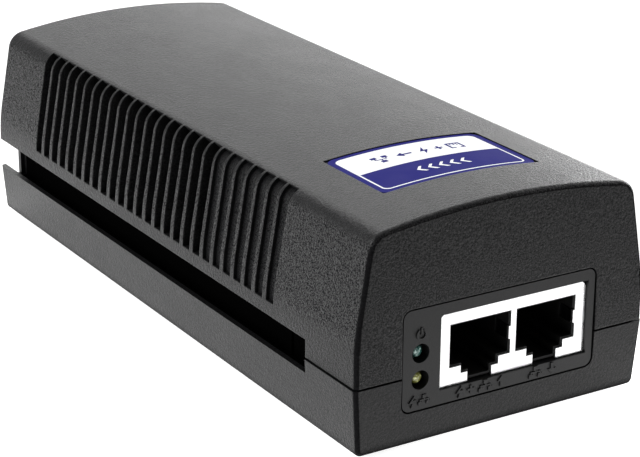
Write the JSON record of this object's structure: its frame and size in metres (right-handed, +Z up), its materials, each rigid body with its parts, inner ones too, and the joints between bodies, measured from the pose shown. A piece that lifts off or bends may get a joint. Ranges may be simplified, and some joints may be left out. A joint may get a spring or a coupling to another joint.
{
  "type": "power over ethernet injector",
  "caption": "Mid-span network power injector: arched slotted plastic case with bracket channels, a twin shielded network socket and lamps in front, a mains inlet behind.",
  "frame": {"origin": "on the floor under the middle of the case, at the bottom of the rubber feet", "axes": "+Z up, the network sockets face -Y, +X to the right as seen facing the sockets"},
  "size_m": [0.0612, 0.1453, 0.0426],
  "materials": {
    "case_plastic": "black, fine moulded grain",
    "panel_plastic": "black, smooth satin",
    "inlet_plastic": "black, smooth satin",
    "socket_plastic": "black, matt",
    "label_film": null,
    "rating_film": null,
    "foot_rubber": "soft, matt",
    "screw_steel": "zinc plated",
    "board_laminate": "green solder mask",
    "tinned_sheet": "bright tin plate",
    "contact_gold": "gold plated",
    "lens_green": "clear epoxy with a green tint",
    "lens_yellow": "clear epoxy with a yellow-green tint",
    "lead_tin": "tinned",
    "holder_plastic": "black, matt",
    "chip_epoxy": "black moulded epoxy",
    "opto_plastic": "white moulded plastic",
    "can_sleeve": "dark blue heat-shrink sleeve",
    "ferrite": "dark grey ferrite",
    "core_coating": "green powder coating",
    "copper_wire": "enamelled copper",
    "winding_tape": "yellow polyester tape",
    "bobbin_plastic": "black, matt",
    "sink_aluminium": "mill finish",
    "film_box": "yellow moulded box",
    "disc_blue": "blue epoxy coating",
    "disc_green": "green epoxy coating",
    "fuse_brown": "brown moulded plastic",
    "sheet_black": "black insulating film",
    "pin_brass": "nickel plated",
    "wire_brown": "brown insulation",
    "wire_blue": "blue insulation",
    "wire_green_yellow": "green and yellow insulation"
  },
  "bodies": {
    "root": {"ac_inlet": "inlet_plastic", "board_screws": "screw_steel", "bridge_rectifier": "chip_epoxy", "bulk_capacitor": "can_sleeve", "case_screws": "screw_steel", "circuit_board": "board_laminate", "contact_tails": "contact_gold", "control_chips": "chip_epoxy", "data_transformers": "chip_epoxy", "earth_pin": "pin_brass", "earth_wire": "wire_green_yellow", "heatsink_screws": "screw_steel", "input_fuse": "fuse_brown", "insulating_sheet": "sheet_black", "interference_capacitor": "film_box", "jack_insert": "socket_plastic", "jack_shield": "tinned_sheet", "lamp_holder": "holder_plastic", "lamp_leads": "lead_tin", "lamp_output": "lens_yellow", "lamp_power": "lens_green", "line_choke_core": "core_coating", "line_choke_windings": "copper_wire", "line_pin": "pin_brass", "line_wire": "wire_brown", "lower_shell": "case_plastic", "neutral_pin": "pin_brass", "neutral_wire": "wire_blue", "optocoupler": "opto_plastic", "output_capacitors": "can_sleeve", "output_choke_core": "core_coating", "output_choke_winding": "copper_wire", "output_rectifier": "chip_epoxy", "port_panel": "panel_plastic", "primary_heatsink": "sink_aluminium", "rating_label": "rating_film", "rear_panel": "panel_plastic", "rubber_feet": "foot_rubber", "safety_capacitor": "disc_blue", "secondary_heatsink": "sink_aluminium", "switching_transistor": "chip_epoxy", "thermistor": "disc_green", "top_label": "label_film", "transformer_bobbin": "bobbin_plastic", "transformer_core": "ferrite", "transformer_winding": "winding_tape", "upper_shell": "case_plastic"},
    "output_contacts": {"contacts_out": "contact_gold"},
    "data_contacts": {"contacts_in": "contact_gold"}
  },
  "joints": [
    {"name": "output_contacts_flex", "type": "hinge", "parent": "root", "child": "output_contacts", "pos_m": [-0.00455, -0.06835, 0.0222], "axis": [1, 0, 0], "range_deg": [0, 10], "stiffness_Nm_per_rad": 0.004},
    {"name": "data_contacts_flex", "type": "hinge", "parent": "root", "child": "data_contacts", "pos_m": [0.00942, -0.06835, 0.0222], "axis": [1, 0, 0], "range_deg": [0, 10], "stiffness_Nm_per_rad": 0.004}
  ]
}
